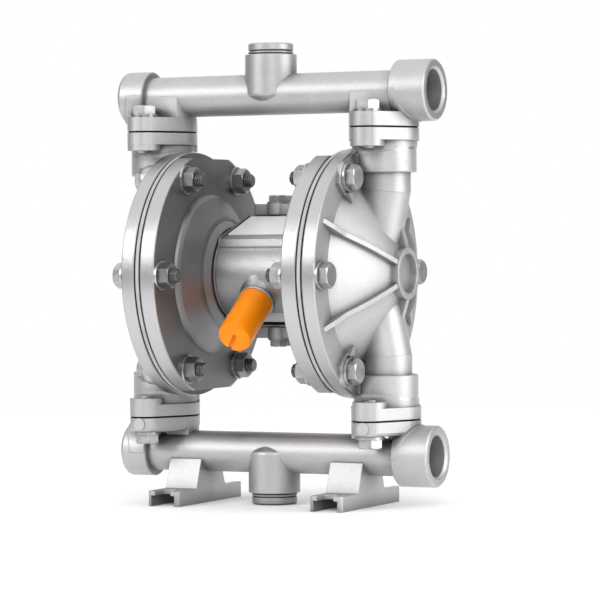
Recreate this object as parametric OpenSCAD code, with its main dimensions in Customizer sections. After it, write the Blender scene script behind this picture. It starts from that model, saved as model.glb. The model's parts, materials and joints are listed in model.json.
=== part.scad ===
// Air-operated double diaphragm pump.
// The shaft runs along X, both fluid ports face +X, the silencer points to -Y and the feet stand on z = 0.
// Every module draws its piece about the pump's centre, where the shaft crosses the middle plane.

/* [Manifolds] */
// Distance between the axes of the two manifold pipes
manifold_spacing = 210; // [208:0.5:214]
// Outer radius of a manifold pipe
pipe_r = 12; // [11.4:0.1:12.6]
// Bore radius of a manifold pipe
pipe_bore_r = 8.2; // [7:0.1:9]
// Distance from the middle plane to the open end of a manifold
port_end_x = 104.9; // [102:0.1:112]
// Distance from the middle plane to the blank end of a manifold
blank_end_x = 95.1; // [93:0.1:100]
// Outer radius of the boss at the open end
port_boss_r = 17.8; // [16:0.1:19]
// Length of the boss at the open end
port_boss_l = 22.5; // [18:0.5:26]
// Outer radius of the boss at the blank end
blank_boss_r = 15.5; // [13.5:0.1:17]
// Length of the boss at the blank end
blank_boss_l = 17; // [12:0.5:20]
// Wall radius of the threaded ports, for a 3/4 inch pipe thread
port_thread_r = 12.06; // [11:0.01:13]
// Depth of the thread at the open end
port_thread_l = 16; // [12:0.5:20]
// Outer radius of the boss at the middle of a manifold
plug_boss_r = 15.2; // [14.5:0.1:17]
// Length of that boss from the pipe's axis
plug_boss_l = 23.3; // [20:0.1:25]
// Outer radius of the plug's head
plug_r = 13.2; // [12.8:0.1:14]
// Length of the plug from the pipe's axis
plug_reach = 29.85; // [27:0.05:30]

/* [Feet] */
// Distance from the middle plane to the middle of a foot
foot_x = 52.4; // [46:0.1:54]
// Width of a foot
foot_w = 20.6; // [18:0.1:24]
// Length of a foot
foot_l = 83; // [76:0.5:96]
// Height of a foot's channel
foot_h = 9; // [7:0.1:11]
// Thickness of a foot's top plate
foot_plate_t = 2.6; // [2:0.1:4]
// Thickness of a foot's side walls
foot_wall_t = 2.7; // [2:0.1:4]
// Width of the open slots in the feet
foot_slot_w = 10.5; // [7:0.1:12]
// Length of the open slots in the feet
foot_slot_l = 14; // [10:0.5:16]
// Clearance between the lower plug and the floor
floor_gap = 0.3; // [0.1:0.1:2]

/* [Valve columns] */
// Distance from the middle plane to a valve column's axis
column_x = 72.3; // [71.6:0.1:76]
// Distance from the pump's axis to the joint with a manifold
joint_z = 84; // [83:0.1:86]
// Thickness of the joint's gasket
gasket_t = 1; // [0.5:0.1:1.5]
// Outer radius of a valve housing
housing_r = 18.7; // [18:0.1:19.4]
// Distance from the pump's axis to a housing's floor
housing_floor_z = 58.2; // [57:0.1:61]
// Radius of the valve chamber inside the housing
chamber_r = 13.4; // [12.6:0.1:14]
// Outer radius of the duct below the housing
duct_r = 15.3; // [14.6:0.1:16]
// Bore radius of the duct
duct_bore_r = 10.5; // [9:0.1:11]
// Height at which the duct bends inwards
duct_knee_z = 48; // [44:0.5:52]
// Angle of the duct's lower stretch
duct_tilt = 11; // [8:0.5:13]
// Radius of the joint flange at its middle
joint_mid_r = 20.3; // [19.8:0.1:21.5]
// Radius of the joint flange's two ears
joint_ear_r = 10; // [9.5:0.1:11]
// Distance of a joint bolt from the column's axis
joint_bolt_y = 23; // [22:0.1:25]
// Thickness of the cover's side of the joint
cover_ear_t = 7; // [6:0.1:8]
// Depth of the threaded ears on the cover's side
cover_lug_t = 10.5; // [9:0.1:12]
// Thickness of the manifold's side of the joint
manifold_ear_t = 8.2; // [7:0.1:9]
// Radius of a valve ball
ball_r = 8; // [7:0.1:8.4]
// Lift of a valve ball
ball_lift = 4; // [2.5:0.1:4.5]
// Bore radius of a valve seat
seat_bore_r = 6.6; // [5.5:0.1:6.8]
// Thickness of a valve seat
seat_t = 4; // [3:0.1:5]

/* [Pump halves] */
// Distance from the middle plane to a diaphragm
diaphragm_x = 51.4; // [50:0.1:53]
// Outer radius of the pump halves
disc_r = 72.5; // [71:0.1:73]
// Thickness of a fluid cover's flange
cover_flange_t = 8.1; // [7:0.1:8.5]
// Thickness of an air casing's flange
casing_flange_t = 9.05; // [8:0.05:10]
// Distance of the casing's flats from its rim
flat_inset = 4.5; // [2.5:0.1:6.5]
// Distance from the rim to the foot of a cover's dome
dome_inset = 17.6; // [17:0.1:19]
// Distance from the middle plane to the dome's top
dome_top_x = 82.5; // [81:0.1:85]
// Extra crown of the dome
dome_crown = 1.8; // [0.5:0.1:3]
// Wall of the dome
dome_wall = 4.2; // [3:0.1:5]
// Outer radius of the ring at a cover's middle
ring_r = 14.9; // [13:0.1:16]
// Height of that ring
ring_h = 5; // [3:0.1:7]
// Radius of the recess in that ring
ring_recess_r = 11.5; // [9:0.1:12.5]
// Thickness of a cover's ribs
rib_t = 3; // [2:0.1:4]
// Angle of the ribs from the horizontal
rib_angle = 27; // [24:0.5:32]
// Distance of the bolts from the rim
bolt_inset = 8.7; // [8:0.1:9.5]
// Number of bolts around a pump half
bolt_count = 6; // [6:1:6]
// Height of the pads under the upper and lower bolts
pad_h = 2.4; // [1.5:0.1:3]
// Thickness of a diaphragm's white sheet
sheet_t = 2; // [1.4:0.1:2.4]
// Thickness of its black backing
backing_t = 0.95; // [0.6:0.05:1.2]
// Thickness of the black rim seal
rim_seal_t = 0.95; // [0.6:0.05:1.2]

/* [Shaft] */
// Radius of the diaphragm shaft
shaft_r = 6; // [5:0.1:6.5]
// Radius of the shaft's threaded ends
stud_r = 4; // [3.5:0.1:4.5]
// Half of the shaft's stroke
half_stroke = 7; // [5:0.5:7]
// Radial clearance of sliding pieces
running_gap = 0.05; // [0.02:0.01:0.08]
// Thickness of an inner plate
inner_plate_t = 4; // [3:0.1:4.5]
// Radius of an inner plate
inner_plate_r = 34; // [30:0.5:36]
// Thickness of an outer plate at its rim
outer_plate_t = 3; // [2:0.1:3.5]
// Radius of an outer plate
outer_plate_r = 33; // [30:0.5:35]
// Radius of the pilot rod
pilot_r = 2.5; // [2:0.1:2.8]
// Distance of the pilot rod below the shaft
pilot_drop = 12.3; // [12.1:0.1:12.9]
// Half of the pilot rod's travel
pilot_travel = 2.5; // [2:0.1:3]

/* [Centre] */
// Half of the centre body's length
body_half_l = 26; // [25:0.1:27]
// Radius of the centre body's barrel
barrel_r = 25; // [24:0.1:26]
// Thickness of the gaskets at the centre body's ends
hub_gasket_t = 0.5; // [0.3:0.1:1]
// Distance of the centre body's rear face from the shaft
body_rear_y = 21; // [20:0.1:23]
// Half of the valve block's length
block_half_l = 24; // [22:0.1:24.2]
// Depth of the valve block from front to back
block_d = 27; // [26:0.1:29]
// Top of the valve block above the shaft
block_top = 34.3; // [34.1:0.1:36]
// Underside of the valve block below the shaft
block_bottom = 31.7; // [29:0.1:32]
// Thickness of the valve block's caps
cap_t = 6.4; // [5:0.1:7]
// Distance of a cap bolt to the side of the spool
cap_bolt_x = 9.5; // [9.2:0.1:11]
// Distance of a cap bolt from the valve block's front or rear
cap_bolt_inset = 5.2; // [4.5:0.1:5.5]
// Radius of the spool
spool_r = 6.5; // [5.5:0.1:6.6]
// Travel of the spool
spool_travel = 8; // [5:0.5:9]
// Radius of the air inlet's threaded hole
inlet_r = 5.72; // [5:0.01:6]
// Angle of the silencer below the horizontal
silencer_angle = 35.5; // [30:0.5:45]
// Distance of the silencer's end from the shaft's axis
silencer_reach = 62.4; // [55:0.1:66]
// Radius of the silencer
silencer_r = 10; // [9:0.1:11]

/* [Fasteners] */
// Radius of the large bolts' shanks
bolt_r = 4; // [3.5:0.1:4.2]
// Width across flats of the large bolts and nuts
bolt_af = 13; // [12:0.1:13.5]
// Height of the large bolts' heads
bolt_head_h = 5.3; // [4.5:0.1:6]
// Height of the large nuts
nut_h = 6.5; // [5.5:0.1:7]
// Outer radius of the large washers
washer_r = 8.5; // [8:0.1:9]
// Thickness of the large washers
washer_t = 1.6; // [1:0.1:2]
// Radius of the small bolts' shanks
cap_bolt_r = 3; // [2.5:0.1:3.2]
// Width across flats of the small bolts
cap_bolt_af = 10; // [9:0.1:10.5]
// Radius of the socket screws' shanks
screw_r = 2.5; // [2:0.1:2.6]

/* [Hidden] */

$fn = 96;
eps = 0.5;
fit_gap = 0.1;
seal_gap = 0.15;
silver = [0.78, 0.78, 0.79];
dark_alu = [0.42, 0.42, 0.44];
steel = [0.7, 0.7, 0.7];
black = [0.08, 0.08, 0.09];
ptfe = [0.94, 0.94, 0.92];
brass = [0.78, 0.63, 0.3];

half_spacing = manifold_spacing / 2;
axis_z = half_spacing + plug_reach + floor_gap;
mid_x = (blank_end_x - port_end_x) / 2;
stack_t = sheet_t + backing_t + rim_seal_t;
cover_x = diaphragm_x + stack_t / 2;
casing_x = diaphragm_x - stack_t / 2;
cover_face_x = cover_x + cover_flange_t;
casing_face_x = casing_x - casing_flange_t;
sheet_x = casing_x + backing_t;
sheet_out_x = sheet_x + sheet_t;
joint_face_z = joint_z - gasket_t / 2;
manifold_face_z = joint_z + gasket_t / 2;
hub_x = body_half_l + hub_gasket_t;
rim_chamfer = 0.6;
bolt_circle_r = disc_r - bolt_inset;
casing_flat_z = disc_r - flat_inset;
dome_r = disc_r - dome_inset;

// Casing back, from the hub out to the flange
hub_r = 27.5;
crest_r = 32.3;
crest_x = hub_x + 3.5;
bell_r = disc_r - 26;
chamber_back_x = hub_x + 8.3;
chamber_rim_r = disc_r - 20.5;
spigot_r = 16;
bush_r = shaft_r + 2;
casing_screw_r = 21;
casing_screw_l = 8;
screw_head_r = 1.7 * screw_r;
screw_head_h = 2 * screw_r;

// Height at which the leaning stretch of a duct starts inside the dome
duct_foot_z = 13.5;

// Valve stack, counted from the seat's underside
stack_h = joint_face_z - housing_floor_z - 1;
contact_lift = sqrt(pow(ball_r + seal_gap, 2) - pow(seat_bore_r, 2));
ball_z = seat_t + contact_lift;
fin_gap = 0.35;
stop_z = ball_z + ball_r + ball_lift + fin_gap;
discharge_stack_z = housing_floor_z + 1;
suction_stack_z = -joint_face_z;

plate_x = casing_x - inner_plate_t;
outer_plate_hub_t = outer_plate_t + 2;
nut_seat_x = sheet_out_x + outer_plate_hub_t;
stud_end_x = nut_seat_x + nut_h + 1.2;
pilot_half_l = plate_x - half_stroke + pilot_travel - 0.3;

spool_y = body_rear_y + block_d / 2 + 0.5;
block_front_y = body_rear_y + 0.5;
sleeve_r = spool_r + 1.5;
cap_gasket_t = 0.5;
cap_top_z = block_top + cap_gasket_t + cap_t;
cap_bottom_z = -block_bottom - cap_gasket_t - cap_t;
cap_boss_r = 6.7;
cap_boss_h = 0.3;
cap_bolt_l = 12;
cap_bolt_y = block_d / 2 - cap_bolt_inset;
cap_bolt_head_h = 4;
cap_washer_t = 1;
cap_washer_r = 6.2;
block_screw_x = 17.6;
block_screw_zs = [-22, 25];

boss_end = 26.7;
boss_start = 16;
boss_root_r = 16.5;
boss_mid_r = 14.5;
boss_neck_r = 11.4;
boss_r = 10.7;
silencer_thread_r = 6.5;
silencer_washer_t = 0.8;
silencer_thread_l = 9;

// Front of the centre body: ridge, step and slanted top under the plate
ridge_y = -20.2;
ridge_z = 14.8;
step_y = -17.4;
step_z = 20.6;
slab_rear_z = 33.7;
body_bottom = 28;
keel_y = -8;
slab_angle = atan2(slab_rear_z - step_z, body_rear_y - step_y);
slab_l = (body_rear_y - step_y) / cos(slab_angle);

// Places every piece in the part's frame
module in_frame() {
  translate([mid_x, 0, axis_z]) children();
}

// Repeats or turns a piece for the left (-1) or right (+1) pump half
module on_side(side) {
  rotate([0, 0, side > 0 ? 0 : 180]) children();
}

module on_both_sides() {
  for (side = [-1, 1]) on_side(side) children();
}

// Stands a piece that was drawn along Z on the X axis
module along_x() {
  rotate([0, 90, 0]) children();
}

module around_bolts() {
  for (i = [0:bolt_count - 1]) rotate([i * 360 / bolt_count, 0, 0]) translate([0, bolt_circle_r, 0]) children();
}

// The discharge joints face up and the suction joints face down
module at_level(level) {
  if (level > 0) children(); else mirror([0, 0, 1]) children();
}

module hex_prism(across_flats, height, chamfer = 0.8) {
  corner_r = across_flats / 2 / cos(30);
  intersection() {
    cylinder(r = corner_r, h = height, $fn = 6);
    rotate_extrude()
      polygon([[0, 0], [corner_r + eps, 0], [corner_r + eps, height - chamfer * 1.4],
        [corner_r - chamfer - 0.4, height], [0, height]]);
  }
}

module rounded_rectangle(half_l, half_d, corner) {
  difference() {
    square([2 * half_l, 2 * half_d], center = true);
    for (x = [-1, 1], y = [-1, 1]) translate([x * (half_l - corner), y * (half_d - corner)])
      difference() {
        translate([x > 0 ? 0 : -corner - 1, y > 0 ? 0 : -corner - 1]) square(corner + 1);
        circle(r = corner);
      }
  }
}

module ring(inner_r, outer_r, height) {
  difference() {
    cylinder(r = outer_r, h = height);
    translate([0, 0, -eps]) cylinder(r = inner_r, h = height + 2 * eps);
  }
}

// Hexagon bolt that points down, its bearing face on z = 0
module hex_bolt(shank_r, length, across_flats, head_h) {
  hex_prism(across_flats, head_h);
  rotate_extrude()
    polygon([[0, eps], [shank_r, eps], [shank_r, -length + 0.8], [shank_r - 0.8, -length], [0, -length]]);
}

// Socket screw that points down, its bearing face on z = 0
module socket_screw(length) {
  difference() {
    union() {
      cylinder(r = screw_head_r, h = screw_head_h);
      translate([0, 0, -length]) cylinder(r = screw_r, h = length + eps);
    }
    translate([0, 0, screw_head_h / 2]) cylinder(r = screw_r * 0.9, h = screw_head_h, $fn = 6);
  }
}

// Oval outline of a joint flange
module joint_outline(trim = 0) {
  hull() {
    circle(r = joint_mid_r - trim, $fn = 48);
    for (end = [-1, 1]) translate([0, end * joint_bolt_y]) circle(r = joint_ear_r - trim, $fn = 32);
  }
}

module at_joint_bolts() {
  for (end = [-1, 1]) translate([0, end * joint_bolt_y, 0]) children();
}

module plug_boss() {
  fall = plug_boss_r - pipe_r + 1;
  rotate_extrude()
    polygon([[0, -fall - 1.2], [plug_boss_r - fall - 1.2, -fall - 1.2], [plug_boss_r - 1.4, -1.9],
      [plug_boss_r - 0.5, -0.9], [plug_boss_r, 0.4], [plug_boss_r, plug_boss_l - 0.4],
      [plug_boss_r - 0.4, plug_boss_l], [0, plug_boss_l]]);
}

// Neck that joins the pipe to a joint flange, round with two flats
module joint_neck(half_d) {
  neck_r = joint_mid_r - 0.05;
  intersection() {
    translate([0, 0, manifold_face_z + 1]) cylinder(r = neck_r, h = half_spacing - manifold_face_z);
    translate([-neck_r - eps, -half_d, manifold_face_z])
      cube([2 * neck_r + 2 * eps, 2 * half_d, half_spacing - manifold_face_z]);
  }
}

// Raised skin where the round neck runs out on a boss of the pipe
module neck_runout(boss_r, boss_x) {
  skin = 0.35;
  intersection() {
    translate([0, 0, manifold_face_z + 2]) cylinder(r = joint_mid_r + 2.3, h = half_spacing - manifold_face_z - 1);
    translate([boss_x, 0, half_spacing]) along_x() cylinder(r = boss_r + skin, h = 2 * joint_mid_r);
  }
}

// Oval joint flange whose far edge is rounded
module rounded_joint(thickness, round_r) {
  drop = round_r * 0.3;
  hull() {
    for (end = [-1, 0, 1]) translate([0, end * joint_bolt_y, 0]) {
      r = end == 0 ? joint_mid_r : joint_ear_r;
      rotate_extrude($fn = 32)
        polygon([[0, 0], [r, 0], [r, thickness - round_r], [r - drop, thickness - drop],
          [r - round_r, thickness], [0, thickness]]);
    }
  }
}

module manifold_solid(neck_half_d) {
  translate([-blank_end_x + 1, 0, half_spacing]) along_x()
    cylinder(r = pipe_r, h = port_end_x + blank_end_x - 2);
  translate([0, 0, half_spacing]) {
    translate([port_end_x - port_boss_l, 0, 0]) along_x() {
      rotate_extrude()
        polygon([[0, 0], [port_boss_r - 0.6, 0], [port_boss_r, 0.6], [port_boss_r, port_boss_l - 1],
          [port_boss_r - 1, port_boss_l], [0, port_boss_l]]);
    }
    translate([-blank_end_x, 0, 0]) along_x() {
      rotate_extrude()
        polygon([[0, 0], [blank_boss_r - 2, 0], [blank_boss_r - 0.6, 0.6], [blank_boss_r, 2],
          [blank_boss_r, blank_boss_l - 0.6], [blank_boss_r - 0.6, blank_boss_l], [0, blank_boss_l]]);
    }
    plug_boss();
  }
  inset = 0.6;
  translate([column_x, 0, 0]) neck_runout(port_boss_r, port_end_x - port_boss_l - column_x + inset);
  translate([-column_x, 0, 0]) mirror([1, 0, 0])
    neck_runout(blank_boss_r, blank_end_x - blank_boss_l - column_x + inset);
  for (side = [-1, 1]) translate([side * column_x, 0, 0]) {
    translate([0, 0, manifold_face_z]) children();
    joint_neck(neck_half_d);
  }
}

module manifold_cuts() {
  neck_bore_r = pipe_bore_r;
  translate([-column_x, 0, half_spacing]) along_x()
    cylinder(r = pipe_bore_r, h = port_end_x + column_x - port_thread_l + eps);
  translate([port_end_x - port_thread_l, 0, half_spacing]) along_x() {
    cylinder(r = port_thread_r, h = port_thread_l + eps);
    translate([0, 0, port_thread_l - 1.4]) cylinder(r1 = port_thread_r, r2 = port_thread_r + 1.6, h = 1.6);
  }
  translate([0, 0, half_spacing + 5]) cylinder(r = port_thread_r, h = plug_boss_l);
  translate([0, 0, half_spacing]) cylinder(r = pipe_bore_r, h = 6);
  for (side = [-1, 1]) translate([side * column_x, 0, manifold_face_z]) {
    translate([0, 0, -eps]) cylinder(r = neck_bore_r, h = half_spacing - manifold_face_z + eps);
    at_joint_bolts() translate([0, 0, -eps]) cylinder(r = bolt_r + fit_gap, h = manifold_ear_t + 2 * eps);
    // Flat seats for the washers beside the neck
    at_joint_bolts() translate([0, 0, manifold_ear_t])
      cylinder(r = washer_r + 0.2, h = bolt_head_h + washer_t + 3);
  }
}

// Round flat spot that the casting pin leaves on the front of an ear
module ear_spot() {
  spot_r = 3.7;
  front_y = -joint_bolt_y - joint_ear_r - 0.15;
  translate([0, front_y + 3, 0]) rotate([90, 0, 0]) cylinder(r = spot_r, h = 3);
}

// One foot, drawn in the part's frame with its underside on z = 0
module foot() {
  pedestal_half_l = 18.5;
  pedestal_top_l = 12;
  pedestal_top = half_spacing > 0 ? floor_gap + plug_reach - 4 : 0;
  difference() {
    union() {
      linear_extrude(foot_h) rounded_rectangle(foot_w / 2, foot_l / 2, 3);
      rotate([90, 0, 90]) translate([0, 0, -foot_w / 2]) linear_extrude(foot_w)
        polygon([[-pedestal_half_l, foot_h - 1], [-pedestal_half_l, foot_h], [-pedestal_top_l, pedestal_top],
          [pedestal_top_l, pedestal_top], [pedestal_half_l, foot_h], [pedestal_half_l, foot_h - 1]]);
    }
    translate([-foot_w / 2 + foot_wall_t, -foot_l / 2 - eps, -eps])
      cube([foot_w - 2 * foot_wall_t, foot_l + 2 * eps, foot_h - foot_plate_t + eps]);
    for (end = [-1, 1]) {
      slot_end_y = foot_l / 2 - foot_slot_l + foot_slot_w / 2;
      translate([0, end * slot_end_y, 0]) cylinder(r = foot_slot_w / 2, h = foot_h + eps);
      translate([-foot_slot_w / 2, end > 0 ? slot_end_y : -foot_l / 2 - eps, 0])
        cube([foot_slot_w, foot_l / 2 - slot_end_y + eps, foot_h + eps]);
    }
  }
}

module discharge_manifold() {
  color(silver) in_frame() difference() {
    manifold_solid(pipe_r + 0.3) linear_extrude(manifold_ear_t) joint_outline();
    manifold_cuts();
  }
}

module suction_manifold() {
  color(silver) in_frame() difference() {
    union() {
      mirror([0, 0, 1]) {
        manifold_solid(pipe_r - 5) rounded_joint(manifold_ear_t, 2);
        for (side = [-1, 1]) translate([side * column_x, 0, manifold_face_z + manifold_ear_t / 2 - 0.6])
          ear_spot();
      }
      for (side = [-1, 1]) translate([side * foot_x, 0, -axis_z]) foot();
    }
    mirror([0, 0, 1]) manifold_cuts();
  }
}

// Threaded plug in the middle boss, with the last turns of its thread in view
module plug() {
  head_h = plug_reach - plug_boss_l - 2.2;
  head_z = plug_reach - head_h;
  difference() {
    rotate_extrude()
      polygon([[0, 6], [port_thread_r - fit_gap, 6], [port_thread_r - fit_gap, head_z - 1.8],
        [plug_r, head_z - 1.5], [plug_r, head_z - 0.5], [plug_r - 1, head_z - 0.3], [plug_r - 1, head_z],
        [plug_r - 0.2, head_z + 0.2], [plug_r, head_z + 0.5], [plug_r, plug_reach - 0.7],
        [plug_r - 0.7, plug_reach], [0, plug_reach]]);
    translate([0, 0, plug_reach - 5]) cylinder(r = 6.3, h = 6, $fn = 6);
  }
}

module discharge_plug() {
  color(silver) in_frame() translate([0, 0, half_spacing]) plug();
}

module suction_plug() {
  color(silver) in_frame() mirror([0, 0, 1]) translate([0, 0, half_spacing]) plug();
}

module port_gaskets() {
  color(black) in_frame() for (side = [-1, 1], level = [-1, 1])
    at_level(level) translate([side * column_x, 0, joint_face_z]) difference() {
      linear_extrude(gasket_t) joint_outline(0.8);
      translate([0, 0, -eps]) cylinder(r = chamber_r - 1.5, h = gasket_t + 2 * eps);
      at_joint_bolts() translate([0, 0, -eps]) cylinder(r = bolt_r + fit_gap, h = gasket_t + 2 * eps);
    }
}

// Places a piece of the valve stack, whose seat is always below its ball
module at_valve(side, level) {
  translate([side * column_x, 0, level > 0 ? discharge_stack_z : suction_stack_z]) children();
}

module valve_seats() {
  color(steel) in_frame() for (side = [-1, 1], level = [-1, 1]) at_valve(side, level)
    rotate_extrude()
      polygon([[seat_bore_r + 0.8, 0], [chamber_r - fit_gap, 0], [chamber_r - fit_gap, seat_t],
        [seat_bore_r + 1.6, seat_t], [seat_bore_r, seat_t - 0.02], [seat_bore_r, 0.8]]);
}

// Basket that guides the ball on four fins and stops its lift
module valve_cage() {
  cage_h = stack_h - seat_t - fit_gap;
  translate([0, 0, seat_t + fit_gap / 2]) {
    ring(chamber_r - 1.6, chamber_r - fit_gap, cage_h);
    difference() {
      for (turn = [0, 90]) rotate([0, 0, turn + 45])
        translate([-chamber_r + 1, -1.1, 0]) cube([2 * chamber_r - 2, 2.2, cage_h]);
      translate([0, 0, -eps]) cylinder(r = ball_r + fin_gap, h = stop_z - seat_t + eps);
    }
  }
}

module valve_cages() {
  color(ptfe) in_frame() for (side = [-1, 1], level = [-1, 1]) at_valve(side, level) valve_cage();
}

module ball(side, level) {
  color(ptfe) in_frame() at_valve(side, level) translate([0, 0, ball_z]) sphere(r = ball_r);
}

module left_suction_ball() { ball(-1, -1); }
module right_suction_ball() { ball(1, -1); }
module left_discharge_ball() { ball(-1, 1); }
module right_discharge_ball() { ball(1, 1); }

dome_steps = 8;
dome_outer = [for (i = [0:dome_steps]) let (t = i / dome_steps)
  [dome_r + (ring_r - dome_r) * t,
    cover_face_x + (dome_top_x - cover_face_x) * t + dome_crown * 4 * t * (1 - t)]];
inner_start_r = chamber_rim_r - 1.5;
inner_start_x = cover_x + 6.4;
dome_inner = [for (i = [0:dome_steps]) let (t = i / dome_steps)
  [inner_start_r + (ring_recess_r - inner_start_r) * t,
    inner_start_x + (dome_top_x - dome_wall - inner_start_x) * t + dome_crown * 4 * t * (1 - t)]];

module cover_shell() {
  ring_x = dome_top_x + ring_h;
  along_x() rotate_extrude()
    polygon(concat([[0, cover_x], [disc_r - rim_chamfer, cover_x], [disc_r, cover_x + rim_chamfer],
      [disc_r, cover_face_x - rim_chamfer], [disc_r - rim_chamfer, cover_face_x]], dome_outer,
      [[ring_r, ring_x - 0.4], [ring_r - 0.4, ring_x], [ring_recess_r + 0.3, ring_x],
        [ring_recess_r, ring_x - 0.3], [ring_recess_r - 0.4, dome_top_x + 1.4], [0, dome_top_x + 1.4]]));
}

module cover_cavity() {
  along_x() rotate_extrude()
    polygon(concat([[0, cover_x - 8], [chamber_rim_r, cover_x - 8], [chamber_rim_r, cover_x + 1]],
      dome_inner, [[0, dome_top_x - dome_wall]]));
}

// Rib from the middle ring down the dome, its outer end bent down to the flange
module cover_rib() {
  bend_r = disc_r - 13.5;
  tip_r = disc_r - 4.6;
  rib_h = 3.8;
  translate([0, rib_t / 2, 0]) rotate([90, 0, 0]) linear_extrude(rib_t)
    polygon(concat([[dome_top_x - 2, ring_r - 2.5]],
      [for (i = [dome_steps:-1:1]) [dome_outer[i][1] + rib_h, dome_outer[i][0]]],
      [[cover_face_x + rib_h + 0.4, bend_r], [cover_face_x + 0.4, tip_r], [cover_face_x - 1, tip_r],
        [cover_face_x - 1, dome_r - 3]]));
}

// Short web from the middle ring to the tip of a duct
module duct_web() {
  translate([0, rib_t / 2, 0]) rotate([90, 0, 0]) linear_extrude(rib_t)
    polygon([[dome_top_x - 2, ring_r - 2], [dome_top_x + ring_h - 0.6, ring_r - 1],
      [dome_top_x + 0.8, ring_r + 11.3], [dome_top_x - 4, ring_r + 10.5]]);
}

// Raised pad under a bolt's washer, its corner and tail turned towards the cover's level middle
module bolt_pad(turn) {
  tail_rise = 2.2;
  along_x() translate([0, 0, cover_face_x - 1]) mirror([turn > 0 ? 0 : 1, 0, 0]) {
    cylinder(r = washer_r + 0.6, h = pad_h + 1);
    linear_extrude(pad_h + 1) polygon([[-4, 6], [4.6, 7.2], [11.6, 2.6], [8.2, -6.6], [5.8, -10], [-2, -8]]);
    linear_extrude(pad_h + 1 + tail_rise) polygon([[0.4, -7], [6.8, -6.4], [5.7, -13.2], [4.1, -13.9]]);
  }
}

module duct(radius, lower_l, rise) {
  block = 4 * duct_r;
  lip = 0.14;
  translate([column_x, 0, duct_knee_z]) {
    difference() {
      translate([0, 0, -radius]) cylinder(r = radius, h = housing_floor_z - duct_knee_z + radius + rise);
      rotate([0, duct_tilt / 2, 0]) translate([-block / 2, -block / 2, -block]) cube(block);
    }
    difference() {
      rotate([0, duct_tilt, 0]) translate([0, 0, -lower_l]) cylinder(r = radius - lip, h = lower_l + radius);
      rotate([0, duct_tilt / 2, 0]) translate([-block / 2, -block / 2, lip * 2]) cube(block);
    }
  }
}

module valve_column() {
  duct(duct_r, duct_knee_z - duct_foot_z, 1);
  translate([column_x, 0, 0]) {
    translate([0, 0, housing_floor_z]) rotate_extrude()
      polygon([[0, 0], [housing_r - 0.5, 0], [housing_r, 0.5], [housing_r, joint_face_z - housing_floor_z - 1],
        [0, joint_face_z - housing_floor_z - 1]]);
    translate([0, 0, joint_face_z - cover_ear_t]) linear_extrude(cover_ear_t) joint_outline();
    at_joint_bolts() translate([0, 0, joint_face_z - cover_lug_t]) cylinder(r = joint_ear_r - 0.05, h = cover_lug_t - 1);
  }
}

module valve_column_cuts() {
  duct(duct_bore_r, duct_knee_z - duct_foot_z - 8.5, 1.5);
  translate([column_x, 0, 0]) {
    translate([0, 0, discharge_stack_z]) cylinder(r = chamber_r, h = joint_face_z - discharge_stack_z + eps);
    at_joint_bolts() translate([0, 0, joint_face_z - cover_lug_t - eps])
      cylinder(r = bolt_r + fit_gap / 2, h = cover_lug_t + 2 * eps);
  }
}

module fluid_cover(side) {
  color(silver) in_frame() on_side(side) difference() {
    union() {
      cover_shell();
      for (level = [-1, 1]) at_level(level) {
        valve_column();
        duct_web();
        for (end = [-1, 1]) translate([cover_face_x - 1, end * 16.4 - 0.9, 63]) cube([3.4, 1.8, 6]);
      }
      for (turn = [rib_angle, -rib_angle, 180 + rib_angle, 180 - rib_angle])
        rotate([turn, 0, 0]) rotate([90, 0, 0]) mirror([0, 0, 1]) cover_rib();
      for (i = [1, 2, 4, 5]) rotate([i * 60, 0, 0]) translate([0, bolt_circle_r, 0])
        bolt_pad(i % 3 == 1 ? 1 : -1);
    }
    cover_cavity();
    for (level = [-1, 1]) at_level(level) valve_column_cuts();
    around_bolts() translate([cover_x - eps, 0, 0]) along_x()
      cylinder(r = bolt_r + 0.4, h = cover_flange_t + pad_h + 2 * eps);
    around_pads() translate([-washer_t, 0, 0]) along_x()
      cylinder(r = washer_r + 0.2, h = bolt_head_h + washer_t + 2);
  }
}

module left_fluid_cover() { fluid_cover(-1); }
module right_fluid_cover() { fluid_cover(1); }

module air_casing(side) {
  color(dark_alu) in_frame() on_side(side) difference() {
    along_x() rotate_extrude()
      polygon([[spigot_r + fit_gap, hub_x], [hub_r, hub_x], [crest_r - 1.2, crest_x - 0.4], [crest_r, crest_x],
        [crest_r + 1.4, crest_x + 0.6], [bell_r - 1.6, casing_face_x - 3], [bell_r, casing_face_x - 1.6],
        [bell_r + 0.8, casing_face_x], [disc_r - rim_chamfer, casing_face_x],
        [disc_r, casing_face_x + rim_chamfer], [disc_r, casing_x - rim_chamfer],
        [disc_r - rim_chamfer, casing_x], [chamber_rim_r, casing_x], [chamber_rim_r - 2, casing_x - 3],
        [inner_plate_r + 4, chamber_back_x + 3.2], [inner_plate_r - 2, chamber_back_x],
        [spigot_r + fit_gap, chamber_back_x]]);
    for (level = [-1, 1]) at_level(level) translate([crest_x, -disc_r, casing_flat_z])
      cube([casing_x - crest_x + 1, 2 * disc_r, disc_r]);
    around_bolts() translate([casing_face_x - eps, 0, 0]) along_x()
      cylinder(r = bolt_r + 0.4, h = casing_flange_t + 2 * eps);
    at_casing_screws() {
      translate([0, 0, -eps]) cylinder(r = screw_head_r + 0.3, h = hub_drill_l);
      translate([0, 0, -hub_depth - eps]) cylinder(r = screw_r + fit_gap, h = hub_drill_l);
    }
  }
}

// The casing screws enter from the air chamber, with their heads sunk in the casing
hub_depth = 4;
hub_drill_l = chamber_back_x - hub_x + 12;
module at_casing_screws() {
  for (turn = [45:90:315]) rotate([turn, 0, 0]) translate([hub_x + hub_depth, casing_screw_r, 0])
    along_x() children();
}

module left_air_casing() { air_casing(-1); }
module right_air_casing() { air_casing(1); }

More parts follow.
